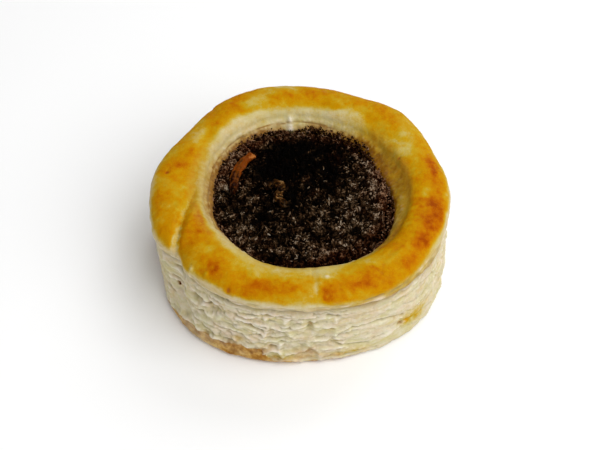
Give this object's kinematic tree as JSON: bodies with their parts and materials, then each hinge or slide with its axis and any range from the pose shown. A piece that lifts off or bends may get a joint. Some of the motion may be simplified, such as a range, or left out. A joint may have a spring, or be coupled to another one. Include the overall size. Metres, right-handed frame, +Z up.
{
  "type": "vol-au-vent",
  "caption": "Round puff pastry case with a golden raised rim and flaky sides, its open well filled with dark minced filling.",
  "frame": {"origin": "middle of the case's outline, on the plane of its flat base", "axes": "+Z up out of the filled well; +X to the right and -Y to the front as the picture shows it, with the split in the rim on the left, at -X -Y"},
  "size_m": [0.0758, 0.0766, 0.0255],
  "materials": {
    "puff_pastry": "baked puff pastry, golden egg-washed top, pale dry flaky sides",
    "minced_filling": "dark moist fine mince, slightly glossy",
    "carrot": "cooked carrot shred, moist",
    "onion": "browned cooked onion scrap, moist"
  },
  "bodies": {
    "root": {"pastry_case": "puff_pastry", "filling": "minced_filling", "carrot_strip": "carrot", "onion_curl": "onion"}
  },
  "joints": []
}
